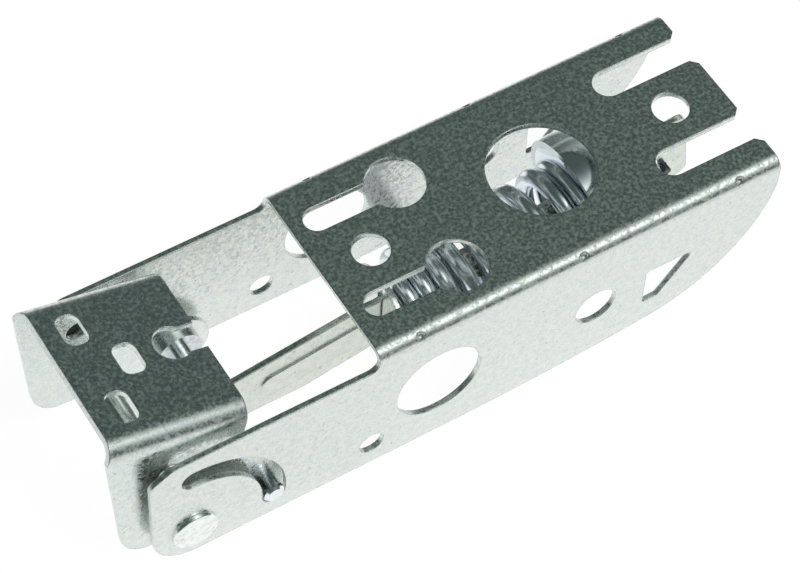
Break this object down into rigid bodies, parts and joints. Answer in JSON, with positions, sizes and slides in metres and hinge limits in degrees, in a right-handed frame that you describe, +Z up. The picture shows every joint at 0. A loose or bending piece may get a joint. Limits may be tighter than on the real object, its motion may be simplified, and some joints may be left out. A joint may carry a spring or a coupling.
{
  "type": "spring hinge",
  "caption": "Folded sheet-steel spring hinge: a punched channel housing holds a coil spring on a pull bar, which draws back a swinging bracket that carries a door.",
  "frame": {"origin": "middle of the hinge in plan, at the level of the flanges' lower edges", "axes": "+X along the channel from the bracket to the rear, +Y across to the far flange, +Z up through the web"},
  "size_m": [0.1254, 0.039, 0.0352],
  "materials": {
    "housing_sheet": "galvanised, fine spangle",
    "bracket_sheet": "galvanised, fine spangle",
    "rivet_steel": "zinc plated, satin",
    "bright_pin": "bright zinc",
    "spacer_steel": "zinc plated",
    "bar_steel": "zinc plated, satin",
    "seat_sheet": "galvanised",
    "spring_wire": "bright zinc",
    "cup_steel": "bright zinc",
    "dark_pin": "dark phosphate"
  },
  "bodies": {
    "housing": {"housing": "housing_sheet", "pivot_rivet": "rivet_steel", "spring_seat": "seat_sheet"},
    "bracket": {"bracket": "bracket_sheet", "link_pin": "bright_pin", "spacer_near": "spacer_steel", "spacer_far": "spacer_steel"},
    "pull_bar": {"pull_bar": "bar_steel", "spring": "spring_wire", "spring_cup": "cup_steel", "cross_pin": "dark_pin"}
  },
  "joints": [
    {"name": "bracket_swing", "type": "hinge", "parent": "housing", "child": "bracket", "pos_m": [-0.0496, 0, 0.0067], "axis": [0, -1, 0], "range_deg": [0, 94], "stiffness_Nm_per_rad": 0.8, "springref_deg": -22.92, "deforming": ["spring"]},
    {"name": "bar_swing", "type": "hinge", "parent": "bracket", "child": "pull_bar", "pos_m": [-0.03486, 0, 0.00541], "axis": [0, -1, 0], "range_deg": [-112, 0]}
  ],
  "couplings": [
    {"joint": "bar_swing", "follows": "bracket_swing", "ratio": -1.1734}
  ]
}
